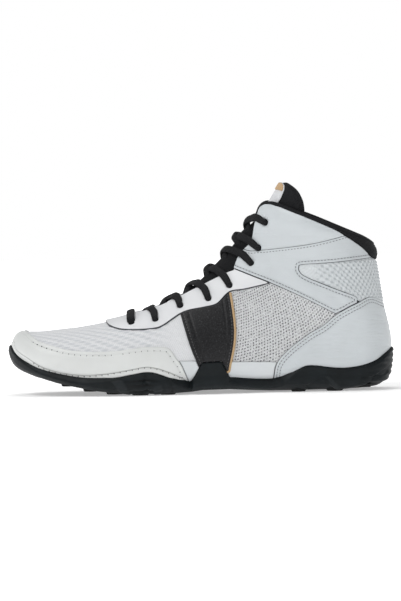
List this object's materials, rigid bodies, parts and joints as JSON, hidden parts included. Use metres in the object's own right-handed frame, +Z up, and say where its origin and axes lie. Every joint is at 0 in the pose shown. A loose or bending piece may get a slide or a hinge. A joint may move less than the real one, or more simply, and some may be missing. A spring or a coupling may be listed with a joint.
{
  "type": "wrestling shoe",
  "caption": "Mid-height wrestling shoe with hollow laced upper, sewn overlay panels, padded tongue and heel tab, and thin lugged rubber outsole.",
  "frame": {"origin": "middle of the shoe's outline on the floor that it stands on", "axes": "+X from toe to heel, +Y towards the inner side of the foot, +Z up"},
  "size_m": [0.285, 0.0938, 0.1543],
  "materials": {
    "rubber": "matt dark grey rubber",
    "lining": "black knitted lining",
    "mesh": "white embossed knit and open mesh",
    "padding": "black padded fabric",
    "white_leather": "white synthetic leather, fine grain",
    "black_leather": "black synthetic leather, slightly glossy",
    "lace": "black woven flat lace"
  },
  "bodies": {
    "root": {"outsole": "rubber", "insole": "lining", "upper": "mesh", "tongue": "padding", "heel_tab": "padding", "saddle_outer": "black_leather", "saddle_inner": "black_leather", "lace_bar": "lace", "toe_cap": "white_leather", "heel_counter": "white_leather", "eyestay": "white_leather", "ankle_panel_outer": "white_leather", "ankle_panel_inner": "white_leather", "rear_foxing_outer": "white_leather", "front_foxing_outer": "white_leather", "rear_foxing_inner": "white_leather", "front_foxing_inner": "white_leather", "lace_cross_1": "lace", "lace_cross_2": "lace", "lace_cross_3": "lace", "lace_cross_4": "lace", "lace_cross_5": "lace", "lace_cross_6": "lace", "lace_cross_7": "lace"}
  },
  "joints": []
}
